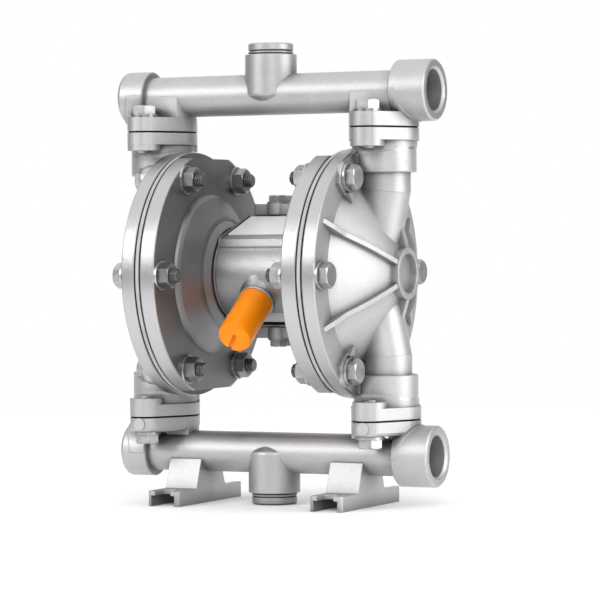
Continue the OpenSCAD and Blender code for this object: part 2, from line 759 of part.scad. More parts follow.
// Profile of a rolled diaphragm, from one distance off the casing's plane to another
roll_r = disc_r - 28.5;
roll_arch = 4;
module rolled_sheet(from_x, to_x, centre_r, outer_r) {
  base = from_x - casing_x;
  top = to_x - casing_x;
  along_x() rotate_extrude() difference() {
    union() {
      translate([centre_r, from_x]) square([outer_r - centre_r, top - base]);
      intersection() {
        translate([roll_r, casing_x]) circle(r = roll_arch + top);
        translate([roll_r - 10, from_x]) square([20, 12]);
      }
    }
    intersection() {
      translate([roll_r, casing_x]) circle(r = roll_arch + base);
      translate([roll_r - 10, casing_x - 1]) square([20, 12]);
    }
  }
}

module with_bolt_holes(from_x, thickness) {
  difference() {
    children();
    around_bolts() translate([from_x - eps, 0, 0]) along_x() cylinder(r = bolt_r + 0.4, h = thickness + 2 * eps);
  }
}

module diaphragm(side) {
  color(ptfe) in_frame() on_side(side) with_bolt_holes(sheet_x, sheet_t)
    rolled_sheet(sheet_x, sheet_out_x, stud_r + fit_gap, disc_r - rim_chamfer);
}

module backing(side) {
  color(black) in_frame() on_side(side) with_bolt_holes(casing_x, backing_t)
    rolled_sheet(casing_x, sheet_x, stud_r + fit_gap, disc_r - 1);
}

module left_diaphragm() { diaphragm(-1); }
module right_diaphragm() { diaphragm(1); }
module left_backing() { backing(-1); }
module right_backing() { backing(1); }

module rim_seals() {
  color(black) in_frame() on_both_sides() with_bolt_holes(sheet_out_x, rim_seal_t)
    translate([sheet_out_x, 0, 0]) along_x() ring(chamber_rim_r, disc_r - 1, rim_seal_t);
}

// Plate on the fluid side, crowned towards its nut
module outer_plate(side) {
  color(silver) in_frame() on_side(side) translate([sheet_out_x, 0, 0]) along_x() rotate_extrude()
    polygon([[stud_r + fit_gap, 0], [outer_plate_r - 1, 0], [outer_plate_r, 1], [outer_plate_r - 0.6, outer_plate_t - 0.8],
      [outer_plate_r - 3, outer_plate_t], [14, outer_plate_hub_t], [stud_r + fit_gap, outer_plate_hub_t]]);
}

// Plate on the air side, flat behind the backing
module inner_plate(side) {
  color(steel) in_frame() on_side(side) translate([casing_x, 0, 0]) along_x() rotate_extrude()
    polygon([[stud_r + fit_gap, 0], [inner_plate_r - 1, 0], [inner_plate_r, -1], [inner_plate_r - 2, -inner_plate_t + 1],
      [inner_plate_r - 6, -inner_plate_t], [stud_r + fit_gap, -inner_plate_t]]);
}

module left_outer_plate() { outer_plate(-1); }
module right_outer_plate() { outer_plate(1); }
module left_inner_plate() { inner_plate(-1); }
module right_inner_plate() { inner_plate(1); }

module drive_shaft() {
  shoulder = plate_x;
  color(steel) in_frame() along_x() rotate_extrude()
    polygon([[0, -stud_end_x], [stud_r - 0.6, -stud_end_x], [stud_r, -stud_end_x + 0.6], [stud_r, -shoulder],
      [shaft_r - 0.5, -shoulder], [shaft_r, -shoulder + 0.5], [shaft_r, shoulder - 0.5],
      [shaft_r - 0.5, shoulder], [stud_r, shoulder], [stud_r, stud_end_x - 0.6],
      [stud_r - 0.6, stud_end_x], [0, stud_end_x]]);
}

module shaft_nuts() {
  color(steel) in_frame() on_both_sides() translate([nut_seat_x, 0, 0]) along_x() difference() {
    hex_prism(bolt_af, nut_h);
    translate([0, 0, -eps]) cylinder(r = stud_r + fit_gap / 2, h = nut_h + 2 * eps);
  }
}

// Section of the centre body across the shaft
module body_section(grow = 0) {
  circle(r = barrel_r + grow);
  polygon([[ridge_y - grow, ridge_z - 8], [ridge_y - 0.6 - grow, ridge_z - 0.8], [ridge_y - grow, ridge_z + 0.4],
    [step_y - 1.6 - grow, ridge_z + 1.2], [step_y - grow, step_z + grow], [body_rear_y - grow, slab_rear_z + grow],
    [body_rear_y, slab_rear_z + grow], [body_rear_y, -body_bottom - grow],
    [keel_y, -body_bottom - grow], [keel_y - 4, -barrel_r * 0.8]]);
}

// Stands a section that was drawn in Y and Z along the shaft
module along_shaft(from_x, length) {
  translate([from_x, 0, 0]) rotate([90, 0, 90]) linear_extrude(length) children();
}

module toward_silencer() {
  rotate([90 + silencer_angle, 0, 0]) children();
}

module centre_body() {
  color(silver) in_frame() difference() {
    union() {
      along_shaft(-body_half_l + 1, 2 * body_half_l - 2) difference() {
        body_section();
        translate([body_rear_y, -2 * barrel_r]) square(4 * barrel_r);
      }
      for (side = [-1, 1]) along_shaft(side > 0 ? body_half_l - 1.2 : -body_half_l, 1.2) body_section(0.9);
      on_both_sides() translate([body_half_l - eps, 0, 0]) along_x()
        cylinder(r = spigot_r, h = chamber_back_x - body_half_l + eps);
      toward_silencer() rotate_extrude()
        polygon([[0, boss_start], [boss_root_r, boss_start], [boss_mid_r, boss_end - 6.4],
          [boss_neck_r + 1, boss_end - 4.3], [boss_neck_r, boss_end - 2.6], [boss_r, boss_end - 1.3], [boss_r, boss_end - 0.3], [boss_r - 0.3, boss_end], [0, boss_end]]);
    }
    along_x() translate([0, 0, -chamber_back_x - eps]) cylinder(r = shaft_r + 1.2, h = 2 * chamber_back_x + 2 * eps);
    on_both_sides() translate([body_half_l - 12, 0, 0]) along_x()
      cylinder(r = bush_r + running_gap, h = chamber_back_x);
    translate([0, 0, -pilot_drop]) along_x() translate([0, 0, -chamber_back_x - eps])
      cylinder(r = pilot_r + running_gap, h = 2 * chamber_back_x + 2 * eps);
    toward_silencer() translate([0, 0, boss_end - silencer_thread_l - 2])
      cylinder(r = silencer_thread_r, h = silencer_thread_l + 4);
    on_both_sides() at_casing_screws() translate([0, 0, -hub_depth - casing_screw_l - 1])
      cylinder(r = screw_r + fit_gap / 2, h = casing_screw_l + 2);
    at_block_screws() translate([0, 0, -block_grip - block_screw_depth])
      cylinder(r = screw_r + fit_gap / 2, h = block_screw_depth + 2);
  }
}

// Blank plate on the slanted top, held clear of its edges
module rating_plate() {
  plate_t = 0.7;
  slab_distance = step_z * cos(slab_angle) - step_y * sin(slab_angle);
  seat = max(0, barrel_r - slab_distance) + 0.01;
  end_gap = 2.4;
  front_gap = 6.6;
  rear_gap = 1.6;
  color("white") in_frame() translate([0, step_y, step_z]) rotate([slab_angle, 0, 0])
    translate([-body_half_l + end_gap, front_gap, seat])
      cube([2 * (body_half_l - end_gap), slab_l - front_gap - rear_gap, plate_t]);
}

module hub_gaskets() {
  color(black) in_frame() on_both_sides() translate([body_half_l, 0, 0]) difference() {
    along_x() ring(spigot_r + fit_gap, barrel_r + 0.6, hub_gasket_t);
    for (turn = [45:90:315]) rotate([turn, 0, 0]) translate([-eps, casing_screw_r, 0]) along_x()
      cylinder(r = screw_r + fit_gap, h = hub_gasket_t + 2 * eps);
  }
}

bush_l = 14;
seal_l = 4;
module shaft_bushes() {
  color(brass) in_frame() on_both_sides() translate([chamber_back_x - bush_l, 0, 0]) along_x()
    ring(shaft_r + running_gap, bush_r, bush_l);
}

module shaft_seals() {
  color(black) in_frame() on_both_sides() translate([chamber_back_x - bush_l - seal_l - fit_gap, 0, 0]) along_x()
    ring(shaft_r + running_gap, bush_r, seal_l);
}

// Rod that the inner plates push at the end of each stroke, waisted where it passes air
module pilot_rod() {
  waist = 3;
  color(steel) in_frame() translate([0, 0, -pilot_drop]) along_x() rotate_extrude()
    polygon([[0, -pilot_half_l], [pilot_r - 0.4, -pilot_half_l], [pilot_r, -pilot_half_l + 0.4], [pilot_r, -9 - waist],
      [pilot_r - 0.8, -9 - waist], [pilot_r - 0.8, -9], [pilot_r, -9], [pilot_r, 9], [pilot_r - 0.8, 9],
      [pilot_r - 0.8, 9 + waist], [pilot_r, 9 + waist], [pilot_r, pilot_half_l - 0.4],
      [pilot_r - 0.4, pilot_half_l], [0, pilot_half_l]]);
}

module casing_screws() {
  color(steel) in_frame() on_both_sides() at_casing_screws() socket_screw(hub_depth + casing_screw_l);
}

module block_footprint(trim = 0) {
  rounded_rectangle(block_half_l - trim, block_d / 2 - trim, 2);
}

block_screw_depth = 10;
block_head_sink = 6;
block_grip = block_d - block_head_sink + block_front_y - body_rear_y;
module at_block_screws() {
  for (x = [-1, 1], z = block_screw_zs)
    translate([x * block_screw_x, block_front_y + block_d - block_head_sink, z]) rotate([-90, 0, 0]) children();
}

module at_cap_bolts() {
  for (x = [-1, 1], y = [-1, 1]) translate([x * cap_bolt_x, y * cap_bolt_y, 0]) children();
}

module air_valve_block() {
  inlet_boss_r = 10.5;
  color(silver) in_frame() difference() {
    union() {
      translate([0, spool_y, -block_bottom]) linear_extrude(block_top + block_bottom) block_footprint();
      translate([0, block_front_y + block_d - 1, 0]) rotate([-90, 0, 0]) rotate_extrude()
        polygon([[0, 0], [inlet_boss_r, 0], [inlet_boss_r, 5.4], [inlet_boss_r - 0.6, 6], [0, 6]]);
    }
    translate([0, spool_y, -block_bottom - eps])
      cylinder(r = sleeve_r + running_gap, h = block_top + block_bottom + 2 * eps);
    translate([0, spool_y, block_top]) at_cap_bolts() translate([0, 0, -cap_bolt_l])
      cylinder(r = cap_bolt_r + fit_gap / 2, h = cap_bolt_l + eps);
    translate([0, spool_y, -block_bottom - eps]) at_cap_bolts()
      cylinder(r = cap_bolt_r + fit_gap / 2, h = cap_bolt_l + eps);
    translate([0, spool_y + sleeve_r + 2, 0]) rotate([-90, 0, 0]) cylinder(r = inlet_r, h = block_d);
    translate([0, spool_y, 0]) rotate([-90, 0, 0]) cylinder(r = inlet_r - 2.2, h = block_d / 2);
    at_block_screws() {
      cylinder(r = screw_head_r + 0.3, h = 20);
      translate([0, 0, -block_d]) cylinder(r = screw_r + fit_gap, h = block_d + eps);
    }
  }
}

module block_gasket() {
  gasket_h = block_front_y - body_rear_y;
  color(black) in_frame() translate([0, body_rear_y, 0]) difference() {
    translate([-block_half_l + 0.5, 0, -block_bottom + 1]) cube([2 * block_half_l - 1, gasket_h, block_bottom + block_top - 2]);
    translate([0, -body_rear_y, 0]) at_block_screws() translate([0, 0, -block_d - eps])
      cylinder(r = screw_r + fit_gap, h = block_d);
  }
}

module block_screws() {
  color(steel) in_frame() at_block_screws() socket_screw(block_grip + block_screw_depth - 1);
}

module valve_cap() {
  color(silver) difference() {
    union() {
      linear_extrude(cap_t) block_footprint(0.6);
      at_cap_bolts() cylinder(r = cap_boss_r, h = cap_t + cap_boss_h);
    }
    at_cap_bolts() translate([0, 0, -eps]) cylinder(r = cap_bolt_r + fit_gap, h = cap_t + cap_boss_h + 2 * eps);
  }
}

module valve_top_cap() {
  in_frame() translate([0, spool_y, block_top + cap_gasket_t]) valve_cap();
}

module valve_bottom_cap() {
  in_frame() translate([0, spool_y, -block_bottom - cap_gasket_t]) mirror([0, 0, 1]) valve_cap();
}

module cap_gaskets() {
  color(black) in_frame() translate([0, spool_y, 0]) for (z = [block_top, -block_bottom - cap_gasket_t])
    translate([0, 0, z]) difference() {
      linear_extrude(cap_gasket_t) block_footprint(0.9);
      at_cap_bolts() translate([0, 0, -eps]) cylinder(r = cap_bolt_r + fit_gap, h = cap_gasket_t + 2 * eps);
    }
}

// Ported sleeve: a window to the inlet and two windows to the air chambers
module valve_sleeve() {
  window = 3;
  color(brass) in_frame() translate([0, spool_y, 0]) difference() {
    translate([0, 0, -block_bottom]) ring(spool_r + running_gap, sleeve_r, block_top + block_bottom);
    for (z = [-14, 0, 14]) translate([0, 0, z]) rotate([z == 0 ? -90 : 90, 0, 0]) cylinder(r = window, h = 12);
  }
}

// Spool with three lands, at the lower end of its travel
module valve_spool() {
  spool_l = block_top + block_bottom - spool_travel - 0.4;
  land = 7;
  groove = (spool_l - 4 * land) / 3;
  waist_r = spool_r - 2.2;
  color(silver) in_frame() translate([0, spool_y, -block_bottom + 0.2]) {
    cylinder(r = waist_r, h = spool_l);
    for (i = [0:3]) translate([0, 0, i * (land + groove)]) cylinder(r = spool_r, h = land);
  }
}

module each_cap_bolt() {
  reach = cap_gasket_t + cap_t + cap_boss_h;
  translate([0, spool_y, 0]) at_cap_bolts() {
    translate([0, 0, block_top + reach]) children();
    translate([0, 0, -block_bottom - reach]) mirror([0, 0, 1]) children();
  }
}

module cap_bolts() {
  color(steel) in_frame() each_cap_bolt() translate([0, 0, cap_washer_t])
    hex_bolt(cap_bolt_r, cap_t + cap_boss_h + cap_bolt_l, cap_bolt_af, cap_bolt_head_h);
}

module cap_washers() {
  color(steel) in_frame() each_cap_bolt() ring(cap_bolt_r + fit_gap, cap_washer_r, cap_washer_t);
}

// Moulded silencer with a screwdriver slot and fine rings next to the boss
module exhaust_silencer() {
  body_start = boss_end + silencer_washer_t;
  ring_pitch = 1.3;
  slot_w = 2.2;
  slot_angle = -35;
  color([0.98, 0.5, 0.08]) in_frame() toward_silencer() difference() {
    rotate_extrude()
      polygon(concat([[0, boss_end - silencer_thread_l], [silencer_thread_r - fit_gap, boss_end - silencer_thread_l],
        [silencer_thread_r - fit_gap, body_start]],
        [for (i = [0:4], k = [0, 1]) [silencer_r - (k == 0 ? 0.35 : 0), body_start + (i + k / 2) * ring_pitch]],
        [[silencer_r, silencer_reach - 2], [silencer_r - 0.5, silencer_reach - 0.6],
          [silencer_r - 1.7, silencer_reach], [0, silencer_reach]]));
    rotate([0, 0, slot_angle]) translate([-slot_w / 2, -silencer_r - eps, silencer_reach - 2.6])
      cube([slot_w, silencer_r + 3, 4]);
  }
}

module silencer_washer() {
  color(silver) in_frame() toward_silencer() translate([0, 0, boss_end])
    ring(silencer_thread_r, silencer_r + 0.4, silencer_washer_t);
}

module disc_bolts(side) {
  color(steel) in_frame() on_side(side) around_pads() along_x()
    hex_bolt(bolt_r, $lift + stack_t + cover_flange_t + casing_flange_t + 2 * washer_t + nut_h + 3.8,
      bolt_af, bolt_head_h);
}

// Visits each bolt of a pump half at the outer face of its washer, with $lift as the height of its pad
module around_pads() {
  for (i = [0:bolt_count - 1]) {
    $lift = i % 3 == 0 ? 0 : pad_h;
    rotate([i * 360 / bolt_count, 0, 0]) translate([cover_face_x + $lift + washer_t, bolt_circle_r, 0]) children();
  }
}

module left_disc_bolts() { disc_bolts(-1); }
module right_disc_bolts() { disc_bolts(1); }

module disc_nuts(side) {
  color(steel) in_frame() on_side(side) around_bolts() translate([casing_face_x - washer_t, 0, 0])
    rotate([0, -90, 0]) difference() {
      hex_prism(bolt_af, nut_h);
      translate([0, 0, -eps]) cylinder(r = bolt_r + fit_gap / 2, h = nut_h + 2 * eps);
    }
}

module left_disc_nuts() { disc_nuts(-1); }
module right_disc_nuts() { disc_nuts(1); }

module disc_washers(side) {
  color(steel) in_frame() on_side(side) {
    around_pads() translate([-washer_t, 0, 0]) along_x() ring(bolt_r + fit_gap, washer_r, washer_t);
    around_bolts() translate([casing_face_x - washer_t, 0, 0]) along_x() ring(bolt_r + fit_gap, washer_r, washer_t);
  }
}

module left_disc_washers() { disc_washers(-1); }
module right_disc_washers() { disc_washers(1); }

module each_manifold_bolt() {
  for (side = [-1, 1], level = [-1, 1]) at_level(level)
    translate([side * column_x, 0, manifold_face_z + manifold_ear_t]) at_joint_bolts() children();
}

module manifold_bolts() {
  color(steel) in_frame() each_manifold_bolt() translate([0, 0, washer_t])
    hex_bolt(bolt_r, washer_t + manifold_ear_t + gasket_t + cover_lug_t + 1.2, bolt_af, bolt_head_h);
}

module manifold_washers() {
  color(steel) in_frame() each_manifold_bolt() ring(bolt_r + fit_gap, washer_r - 0.3, washer_t);
}

discharge_manifold();
suction_manifold();
discharge_plug();
suction_plug();
port_gaskets();
valve_seats();
valve_cages();
left_suction_ball();
right_suction_ball();
left_discharge_ball();
right_discharge_ball();
left_fluid_cover();
right_fluid_cover();
left_air_casing();
right_air_casing();
left_diaphragm();
right_diaphragm();
left_backing();
right_backing();
rim_seals();
left_outer_plate();
right_outer_plate();
left_inner_plate();
right_inner_plate();
drive_shaft();
shaft_nuts();
centre_body();
rating_plate();
hub_gaskets();
shaft_bushes();
shaft_seals();
pilot_rod();
casing_screws();
air_valve_block();
block_gasket();
block_screws();
valve_top_cap();
valve_bottom_cap();
cap_gaskets();
valve_sleeve();
valve_spool();
cap_bolts();
cap_washers();
exhaust_silencer();
silencer_washer();
left_disc_bolts();
right_disc_bolts();
left_disc_nuts();
right_disc_nuts();
left_disc_washers();
right_disc_washers();
manifold_bolts();
manifold_washers();
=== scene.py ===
import json
import math

import bmesh
import bpy
from mathutils import Matrix, Vector


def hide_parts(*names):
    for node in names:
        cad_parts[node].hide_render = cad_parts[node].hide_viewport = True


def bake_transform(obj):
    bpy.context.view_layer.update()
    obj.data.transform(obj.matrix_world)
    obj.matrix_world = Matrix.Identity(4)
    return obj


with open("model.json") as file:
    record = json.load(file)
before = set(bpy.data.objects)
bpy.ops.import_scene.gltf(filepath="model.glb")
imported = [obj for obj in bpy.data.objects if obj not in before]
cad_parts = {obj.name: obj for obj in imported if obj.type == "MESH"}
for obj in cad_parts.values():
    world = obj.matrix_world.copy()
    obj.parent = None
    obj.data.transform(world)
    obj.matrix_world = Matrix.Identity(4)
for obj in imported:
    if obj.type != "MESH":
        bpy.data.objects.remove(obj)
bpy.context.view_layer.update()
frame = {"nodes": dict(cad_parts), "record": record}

nodes = frame["nodes"]
mm = 0.001
white = (1, 1, 1)
metal = (0.985, 0.982, 1.0)

# the pump's own centre, where the shaft crosses its middle plane
pump = {"centreX": -4.9 * mm, "centreZ": 135.15 * mm, "spacing": 105 * mm}

shading = {"edgeSamples": 4, "hollowSamples": 8}
mixSockets = {"factor": 0, "first": 6, "second": 7, "result": 2}  # those for colours


def rgb(shade, tint=metal):
    return tuple(shade * part for part in tint) + (1,)


class Field:
    # a number or colour that varies over a surface
    def __init__(self, look, socket):
        self.look = look
        self.socket = socket

    def math(self, operation, first, second=None):
        inputs = {0: first} if second is None else {0: first, 1: second}
        return self.look.node("ShaderNodeMath", {"operation": operation}, inputs)

    def __add__(self, other):
        return self.math("ADD", self, other)

    def __sub__(self, other):
        return self.math("SUBTRACT", self, other)

    def __rsub__(self, other):
        return self.math("SUBTRACT", other, self)

    def __mul__(self, other):
        return self.math("MULTIPLY", self, other)

    __radd__ = __add__
    __rmul__ = __mul__

    def root(self):
        return self.math("SQRT", self)

    def size(self):
        return self.math("ABSOLUTE", self)

    def larger(self, other):
        return self.math("MAXIMUM", self, other)

    def wave(self, pitch):
        # runs from -1 to 1 and back within each pitch
        return self.math("SINE", self * (2 * math.pi / pitch))

    def share(self):
        # a wave brought to 0 to 1, for a mix
        return self * 0.5 + 0.5

    def centred(self):
        # a noise brought to -0.5 to 0.5, so that it adds nothing on average
        return self - 0.5

    def average(self, other):
        return self * 0.5 + other * 0.5

    def step(self, start, end):
        settings = {"interpolation_type": "SMOOTHSTEP", "clamp": True}
        span = {"Value": self, "From Min": start, "From Max": end}
        return self.look.node("ShaderNodeMapRange", settings, span)


class Look:
    # one material, or the world, and the nodes that draw it
    def __init__(self, name, world=None):
        self.material = world or bpy.data.materials.new(name)
        self.material.use_nodes = True
        self.tree = self.material.node_tree
        self.tree.nodes.clear()
        self.place = self.node("ShaderNodeTexCoord", output="Generated" if world else "Object")
        split = self.node("ShaderNodeSeparateXYZ", {}, {"Vector": self.place}).socket.node
        self.x, self.y, self.z = (Field(self, split.outputs[i]) for i in range(3))

    def node(self, kind, settings=None, inputs=None, output=0):
        made = self.tree.nodes.new(kind)
        for key, value in (settings or {}).items():
            setattr(made, key, value)
        for key, value in (inputs or {}).items():
            if isinstance(value, Field):
                self.tree.links.new(value.socket, made.inputs[key])
            else:
                made.inputs[key].default_value = value
        return Field(self, made.outputs[output]) if len(made.outputs) else None

    def noise(self, scale, detail, roughness, place=None):
        inputs = {"Vector": place or self.place, "Scale": scale}
        inputs.update({"Detail": detail, "Roughness": roughness})
        return self.node("ShaderNodeTexNoise", {}, inputs)

    def stretched(self, scale):
        return self.node("ShaderNodeMapping", {}, {"Vector": self.place, "Scale": scale})

    def radius(self, first, second):
        return (first * first + second * second).root()

    def mix(self, factor, first, second):
        m = mixSockets
        inputs = {m["factor"]: factor, m["first"]: first, m["second"]: second}
        return self.node("ShaderNodeMix", {"data_type": "RGBA"}, inputs, m["result"])

    def bump(self, height, strength, distance, normal):
        inputs = {"Height": height, "Strength": strength, "Distance": distance, "Normal": normal}
        return self.node("ShaderNodeBump", {}, inputs)

    def softEdges(self, radius):
        settings = {"samples": shading["edgeSamples"]}
        return self.node("ShaderNodeBevel", settings, {"Radius": radius})

    # painted shade: measures how crowded each point is, to darken creases and hollows
    def paintedCreaseShade(self, depth):
        settings = {"samples": shading["hollowSamples"]}
        return self.node("ShaderNodeAmbientOcclusion", settings, {"Distance": depth}, "AO")

    def finish(self, color, roughness, metallic, normal=None, constants=None):
        inputs = {"Base Color": color, "Roughness": roughness, "Metallic": metallic}
        if normal:
            inputs["Normal"] = normal
        inputs.update(constants or {})
        shader = self.node("ShaderNodeBsdfPrincipled", {}, inputs)
        self.node("ShaderNodeOutputMaterial", {}, {"Surface": shader})
        return self.material


print("camera and stage")
camera = {
    "place": (806.21 * mm, -1640.5 * mm, 159.31 * mm),
    "turn": 25.812,
    "tilt": 1.243,
    "roll": -0.488,
    "focalPixels": 3118.567,
    "imagePixels": 600,
    "sensorWidth": 36,
    "farClip": 100,
}
floor = {"radius": 1.0, "segments": 96, "shade": 0.95, "roughness": 0.9, "glow": 0.06}
sky = {
    "backShade": 1.0, "frontShade": 0.13, "backSpan": (0.45, 0.93),
    "topShade": 1.15, "topSpan": (0.45, 0.75),
}
lights = [
    # name, place, aim, width, height, power
    ("keyLight", (-1.2, -1.7, 1.0), (0, 0, 0.13), 1.1, 0.9, 20),
    ("frontLight", (1.0, -1.6, 1.0), (0, 0, 0.13), 1.0, 0.9, 14),
    ("rightLight", (1.6, 0.1, 0.45), (0, 0, 0.13), 1.0, 1.0, 14),
]


def makeCamera(c):
    data = bpy.data.cameras.new("photoCamera")
    data.sensor_width = c["sensorWidth"]
    data.lens = c["focalPixels"] / c["imagePixels"] * data.sensor_width
    data.clip_end = c["farClip"]
    turn, tilt, roll = (math.radians(c[key]) for key in ("turn", "tilt", "roll"))
    level = Vector((math.cos(turn), math.sin(turn), 0))
    towards = Vector((math.sin(turn), -math.cos(turn), 0))
    back = towards * math.cos(tilt) + Vector((0, 0, math.sin(tilt)))
    upright = back.cross(level)
    side = level * math.cos(roll) + upright * math.sin(roll)
    up = upright * math.cos(roll) - level * math.sin(roll)
    made = bpy.data.objects.new("photoCamera", data)
    axes = Matrix((side, up, back)).transposed().to_4x4()
    made.matrix_world = Matrix.Translation(c["place"]) @ axes
    bpy.context.scene.collection.objects.link(made)
    bpy.context.scene.camera = made


def makeLight(name, place, aim, width, height, power):
    data = bpy.data.lights.new(name, "AREA")
    data.shape = "RECTANGLE"
    data.size, data.size_y = width, height
    data.energy = power
    made = bpy.data.objects.new(name, data)
    facing = (Vector(aim) - Vector(place)).to_track_quat("-Z", "Y").to_matrix().to_4x4()
    made.matrix_world = Matrix.Translation(place) @ facing
    bpy.context.scene.collection.objects.link(made)


def makeFloor(f):
    look = Look("paleFloor")
    glow = {"Emission Color": rgb(1, white), "Emission Strength": f["glow"]}
    look.finish(rgb(f["shade"], white), f["roughness"], metallic=0.0, constants=glow)
    mesh = bpy.data.meshes.new("studioFloor")
    bm = bmesh.new()
    bmesh.ops.create_circle(bm, cap_ends=True, segments=f["segments"], radius=f["radius"])
    bm.to_mesh(mesh)
    bm.free()
    mesh.materials.append(look.material)
    made = bpy.data.objects.new("studioFloor", mesh)
    bpy.context.scene.collection.objects.link(made)


def makeSky(s):
    # white overhead and behind the pump, dimmer behind the camera
    world = bpy.data.worlds.new("studioWorld")
    look = Look("studioWorld", world)
    turn = math.radians(camera["turn"])
    away = look.y * math.cos(turn) - look.x * math.sin(turn)
    front, back = rgb(s["frontShade"], white), rgb(s["backShade"], white)
    color = look.mix(away.step(*s["backSpan"]), front, back)
    color = look.mix(look.z.step(*s["topSpan"]), color, rgb(s["topShade"], white))
    shader = look.node("ShaderNodeBackground", {}, {"Color": color})
    look.node("ShaderNodeOutputWorld", {}, {"Surface": shader})
    bpy.context.scene.world = world


makeCamera(camera)
makeFloor(floor)
makeSky(sky)
for light in lights:
    makeLight(*light)
bpy.context.scene.view_settings.view_transform = "Standard"

print("turned faces")
turnedFaces = {
    "rimStart": (71.2 * mm, 71.5 * mm), "rimEnd": (72.8 * mm, 73.0 * mm),
    "casingFace": (49.2 * mm, 49.3 * mm), "portFace": (99.3 * mm, 99.5 * mm),
}


def fromAxis(look):
    return look.radius(look.y, look.z - pump["centreZ"])


def fromMiddle(look):
    return (look.x - pump["centreX"]).size()


def rimEdge(look, t):
    # the turned edge of a flange, without the ears that reach past it
    r = fromAxis(look)
    return r.step(*t["rimStart"]) * (1 - r.step(*t["rimEnd"]))


# each of these gives a mask of the turned faces and the direction across their rings
def coverFaces(look, t):
    return rimEdge(look, t), look.x


def casingFaces(look, t):
    return rimEdge(look, t).larger(fromMiddle(look).step(*t["casingFace"])), look.x


def portFaces(look, t):
    fromPort = (look.z - pump["centreZ"]).size() - pump["spacing"]
    return look.x.step(*t["portFace"]), look.radius(look.y, fromPort)


print("castings")
castFinish = {
    "shade": 0.57, "mottle": 0.03, "mottleNoise": (26, 4, 0.6), "mottleSpan": (0.3, 0.7),
    "grainNoise": (1000, 2, 0.6), "grainSpan": (0.35, 0.65), "grainDark": 0.08,
    "grainDepth": 0.14 * mm, "grainRough": 0.06, "bump": 0.5,
    "pitNoise": (620, 1, 0.4), "pitSpan": (0.72, 0.78), "pitDark": 0.25, "pitShade": 0.5,
    "pitDepth": 0.8, "roughness": 0.48, "roughSpread": 0.1, "edge": 0.6 * mm,
    # how far the painted shade in creases reaches, and how dark it gets
    "paintedShadeReach": 9 * mm, "paintedShadeLevel": 0.08,
    "turnedShade": 0.56, "turnedDark": 0.94, "turnedRoughness": 0.36,
    "turnedPitch": 0.4 * mm, "turnedDepth": 0.2,
}
# casings take a darker tone, with lighter painted shade in their creases
casingFinish = dict(castFinish, shade=0.3, roughness=0.44, paintedShadeLevel=0.3)
# the centre body gets a darker tone, painted shade for where it sits between the two halves, and
# a coarser grain
shadedBodyFinish = dict(castFinish, shade=0.4, roughness=0.4, grainDepth=0.25 * mm)


def castLook(name, c, turned=None):
    # bead-blasted casting, with turned faces where it is given some, and painted shade in its
    # creases
    look = Look(name)
    mottle, grain = look.noise(*c["mottleNoise"]), look.noise(*c["grainNoise"])
    pits = look.noise(*c["pitNoise"]).step(*c["pitSpan"])
    darker, lighter = rgb(c["shade"] - c["mottle"]), rgb(c["shade"] + c["mottle"])
    color = look.mix(mottle.step(*c["mottleSpan"]), darker, lighter)
    # painted shade: the colour darkens in creases, hollows and between parts, where shade falls
    paintedShadeMask = 1 - look.paintedCreaseShade(c["paintedShadeReach"])
    color = look.mix(paintedShadeMask, color, rgb(c["shade"] * c["paintedShadeLevel"]))
    speck = look.mix(c["grainDark"], color, rgb(0))
    color = look.mix(grain.step(*c["grainSpan"]), speck, color)
    color = look.mix(pits * c["pitDark"], color, rgb(c["shade"] * c["pitShade"]))
    roughness = c["roughness"] + mottle.centred() * c["roughSpread"] + grain * c["grainRough"]
    height = grain - pits * c["pitDepth"]
    if turned:
        mask, along = turned(look, turnedFaces)
        rings = along.wave(c["turnedPitch"])
        groove, crest = rgb(c["turnedShade"] * c["turnedDark"]), rgb(c["turnedShade"])
        color = look.mix(mask, color, look.mix(rings.share(), groove, crest))
        roughness = roughness * (1 - mask) + mask * c["turnedRoughness"]
        height = height * (1 - mask) + rings * mask * c["turnedDepth"]
    normal = look.bump(height, c["bump"], c["grainDepth"], look.softEdges(c["edge"]))
    return look.finish(color, roughness, metallic=1.0, normal=normal)


print("fasteners and turned pieces")
zincFinish = {
    "cloudNoise": (180, 3, 0.6), "cloudSpan": (0.3, 0.7), "darker": 0.86, "lighter": 1.08,
    "paleTint": (1.0, 1.0, 0.985), "streakNoise": (60, 2, 0.5), "streakStretch": (1, 9, 40),
    # how far the painted shade in creases reaches, and how dark it gets
    "paintedShadeReach": 2.5 * mm, "paintedShadeLevel": 0.35, "bump": 0.2, "depth": 0.04 * mm,
    "edge": 0.35 * mm, "roughSpread": 0.16,
}
# threads: darker painted shade in creases, and painted shade in the grooves of the thread
threadFinish = dict(
    zincFinish, paintedShadeLevel=0.3, bump=0.6, depth=0.5 * mm, cloudDepth=0.04,
    start=33 * mm, runOut=0.1 * mm, pitch=1.25 * mm, crestShade=0.24, paintedGrooveShade=0.072,
)
turnedFinish = {
    "cloudNoise": (90, 3, 0.5), "cloudSpan": (0.3, 0.7), "darker": 0.92, "pitch": 0.3 * mm,
    "lineDepth": 0.4, "bump": 0.15, "depth": 0.03 * mm, "edge": 0.3 * mm, "roughSpread": 0.1,
}


def zincLook(name, shade, roughness, z=zincFinish):
    look = Look(name)
    cloud = look.noise(*z["cloudNoise"])
    streak = look.noise(*z["streakNoise"], look.stretched(z["streakStretch"]))
    darker, lighter = rgb(shade * z["darker"]), rgb(shade * z["lighter"], z["paleTint"])
    color = look.mix(cloud.step(*z["cloudSpan"]), darker, lighter)
    # painted shade: darker in creases and where parts crowd together
    color = look.mix(1 - look.paintedCreaseShade(z["paintedShadeReach"]), color, rgb(shade * z["paintedShadeLevel"]))
    height = cloud.average(streak)
    normal = look.bump(height, z["bump"], z["depth"], look.softEdges(z["edge"]))
    rough = roughness + cloud.centred() * z["roughSpread"]
    return look.finish(color, rough, metallic=1.0, normal=normal)


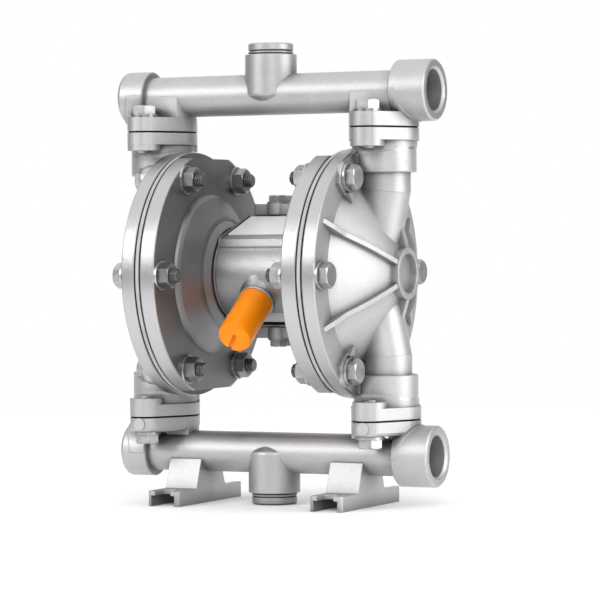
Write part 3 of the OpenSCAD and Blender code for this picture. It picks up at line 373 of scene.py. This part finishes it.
def boltLook(name, shade, roughness, z=threadFinish):
    # plated bolt whose inner end shows its dark rolled thread, with painted shade in the
    # thread's grooves
    look = Look(name)
    cloud = look.noise(*z["cloudNoise"])
    inward = 1 - fromMiddle(look).step(z["start"], z["start"] + z["runOut"])
    turns = look.x.wave(z["pitch"])
    darker, lighter = rgb(shade * z["darker"]), rgb(shade * z["lighter"])
    plain = look.mix(cloud.step(*z["cloudSpan"]), darker, lighter)
    # painted shade: the thread's grooves are darker than its crests
    thread = look.mix(turns.share(), rgb(z["paintedGrooveShade"]), rgb(z["crestShade"]))
    color = look.mix(inward, plain, thread)
    # painted shade: darker in creases and where parts crowd together
    color = look.mix(1 - look.paintedCreaseShade(z["paintedShadeReach"]), color, rgb(shade * z["paintedShadeLevel"]))
    height = cloud * z["cloudDepth"] + inward * turns
    normal = look.bump(height, z["bump"], z["depth"], look.softEdges(z["edge"]))
    rough = roughness + cloud.centred() * z["roughSpread"]
    return look.finish(color, rough, metallic=1.0, normal=normal)


def turnedLook(name, shade, roughness, tint=white, t=turnedFinish):
    look = Look(name)
    cloud = look.noise(*t["cloudNoise"])
    lines = fromAxis(look).wave(t["pitch"])
    darker, lighter = rgb(shade * t["darker"], tint), rgb(shade, tint)
    color = look.mix(cloud.step(*t["cloudSpan"]), darker, lighter)
    height = lines * t["lineDepth"] + cloud
    normal = look.bump(height, t["bump"], t["depth"], look.softEdges(t["edge"]))
    rough = roughness + cloud.centred() * t["roughSpread"]
    return look.finish(color, rough, metallic=1.0, normal=normal)


print("rubber, sheets and plastic")
plasticFinish = {
    "cloudNoise": (70, 3, 0.5), "cloudSpan": (0.3, 0.7), "grainNoise": (1500, 2, 0.5),
    "bump": 0.3, "depth": 0.04 * mm, "edge": 0.4 * mm, "roughSpread": 0.12, "shine": 0.5,
}
plateFinish = dict(plasticFinish, grainNoise=(400, 2, 0.5), depth=0.01 * mm)
backingFinish = {
    "cloudNoise": (90, 3, 0.5), "cloudSpan": (0.3, 0.7), "grainNoise": (1500, 2, 0.5),
    "edgeSpan": (71.3 * mm, 71.5 * mm), "edgeShade": 0.008, "faceShade": 0.2, "darker": 0.85,
    "roughness": 0.5, "roughSpread": 0.1, "shine": 0.2,
    "bump": 0.2, "depth": 0.04 * mm, "edge": 0.3 * mm,
}


def plasticLook(name, color, dark, roughness, p=plasticFinish):
    look = Look(name)
    cloud, grain = look.noise(*p["cloudNoise"]), look.noise(*p["grainNoise"])
    tone = look.mix(cloud.step(*p["cloudSpan"]), dark + (1,), color + (1,))
    normal = look.bump(grain, p["bump"], p["depth"], look.softEdges(p["edge"]))
    rough = roughness + grain.centred() * p["roughSpread"]
    shine = {"Specular IOR Level": p["shine"]}
    return look.finish(tone, rough, metallic=0.0, normal=normal, constants=shine)


def backingLook(name, b):
    # black at the rim, paler on the face that shows over the casing's flats
    look = Look(name)
    cloud = look.noise(*b["cloudNoise"])
    edge = fromAxis(look).step(*b["edgeSpan"])
    darker, lighter = rgb(b["faceShade"] * b["darker"]), rgb(b["faceShade"])
    face = look.mix(cloud.step(*b["cloudSpan"]), darker, lighter)
    grain = look.noise(*b["grainNoise"])
    normal = look.bump(grain, b["bump"], b["depth"], look.softEdges(b["edge"]))
    tone = look.mix(edge, face, rgb(b["edgeShade"]))
    rough = b["roughness"] + cloud * b["roughSpread"]
    shine = {"Specular IOR Level": b["shine"]}
    return look.finish(tone, rough, metallic=0.0, normal=normal, constants=shine)


def shiny(shine):
    return dict(plasticFinish, shine=shine)


print("materials")
# metals take a name, shade and roughness, plastics a name, two colours and roughness
looks = {
    "backing": backingLook("greyBacking", backingFinish),
    "bolt": boltLook("threadedZinc", 0.5, 0.36),
    "ring": zincLook("paleRing", 0.85, 0.5),
    "plain": castLook("castAluminium", castFinish),
    # painted shade: a darker casting for the centre body between the halves
    "body": castLook("shadedBodyAluminium", shadedBodyFinish),
    "cover": castLook("coverAluminium", castFinish, coverFaces),
    "casing": castLook("casingAluminium", casingFinish, casingFaces),
    "manifold": castLook("manifoldAluminium", castFinish, portFaces),
    "plug": turnedLook("turnedAluminium", 0.78, 0.26),
    "steel": turnedLook("turnedSteel", 0.56, 0.24),
    "bronze": turnedLook("bushBronze", 0.62, 0.3, (1.0, 0.68, 0.32)),
    "zinc": zincLook("zincSteel", 0.52, 0.36),
    # painted shade: a darker copy of the zinc, for the left disc's nuts
    "shadedZinc": zincLook("shadedZincSteel", 0.3, 0.34),
    "rubber": plasticLook(
        "blackRubber", (0.01, 0.01, 0.011), (0.006, 0.006, 0.006), 0.6, shiny(0.15)),
    "ptfe": plasticLook(
        "whitePtfe", (0.5, 0.5, 0.48), (0.42, 0.42, 0.4), 0.45, shiny(0.3)),
    "plate": plasticLook(
        "whitePlate", (0.86, 0.86, 0.86), (0.83, 0.83, 0.83), 0.35, plateFinish),
    "orange": plasticLook(
        "orangePlastic", (1.0, 0.3, 0.0), (0.98, 0.25, 0.0), 0.3, shiny(0.2)),
}
slotLooks = {
    "cast_aluminium": "plain", "dark_aluminium": "casing", "bright_aluminium": "plug",
    "zinc_steel": "zinc", "turned_steel": "steel", "black_rubber": "rubber",
    "white_ptfe": "ptfe", "white_label": "plate", "orange_plastic": "orange",
    "bronze": "bronze",
}
nodeLooks = {
    "left_fluid_cover": "cover", "right_fluid_cover": "cover", "centre_body": "body",
    "discharge_manifold": "manifold", "suction_manifold": "manifold",
    "discharge_plug": "plain", "suction_plug": "plain", "silencer_washer": "ring",
    # the left disc's nuts take the darker zinc as painted shade
    "left_disc_nuts": "shadedZinc", "right_disc_nuts": "zinc",
    "left_disc_bolts": "bolt", "right_disc_bolts": "bolt",
    "left_backing": "backing", "right_backing": "backing",
}


def paint(made, look):
    made.data.materials.clear()
    made.data.materials.append(looks[look])


for part in frame["record"]["subparts"]:
    name = part["node"]
    paint(nodes[name], nodeLooks.get(name, slotLooks[part["material_slot"]]))

print("diaphragms")
# each sheet is cut into equal sectors about the shaft's axis, which take the place of the whole
# sheet
sheet = {
    "sectors": 12, "innerEdge": 36 * mm, "outerEdge": 51.5 * mm, "merge": 0.001 * mm,
    "looks": {"diaphragm": "ptfe", "backing": "backing"},
}


def cutAway(bm, place, outward):
    # takes off what lies past the plane and closes the cut
    every = bm.verts[:] + bm.edges[:] + bm.faces[:]
    cut = bmesh.ops.bisect_plane(
        bm, geom=every, plane_co=place, plane_no=outward, clear_outer=True)
    rim = [part for part in cut["geom_cut"] if isinstance(part, bmesh.types.BMEdge)]
    bmesh.ops.triangle_fill(bm, edges=rim, use_beauty=True)


def makeSector(node, look, turn, spread, name, merge):
    bm = bmesh.new()
    bm.from_mesh(node.data)
    bmesh.ops.remove_doubles(bm, verts=bm.verts, dist=merge)
    bmesh.ops.transform(bm, matrix=node.matrix_world, verts=bm.verts)
    for side in (-1, 1):
        angle = turn + side * spread / 2
        outward = Vector((0, -math.sin(angle), math.cos(angle))) * side
        cutAway(bm, Vector((0, 0, pump["centreZ"])), outward)
    bmesh.ops.recalc_face_normals(bm, faces=bm.faces)
    mesh = bpy.data.meshes.new(name)
    bm.to_mesh(mesh)
    bm.free()
    mesh.materials.append(looks[look])
    made = bpy.data.objects.new(name, mesh)
    bpy.context.scene.collection.objects.link(made)
    return made


def makeSheet(node, look, s):
    spread = 2 * math.pi / s["sectors"]
    for i in range(s["sectors"]):
        turn = spread * i
        piece = makeSector(nodes[node], look, turn, spread, f"{node}Sector{i}", s["merge"])
        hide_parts(node)
        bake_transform(piece)


for side in ("left", "right"):
    for layer, look in sheet["looks"].items():
        makeSheet(f"{side}_{layer}", look, sheet)
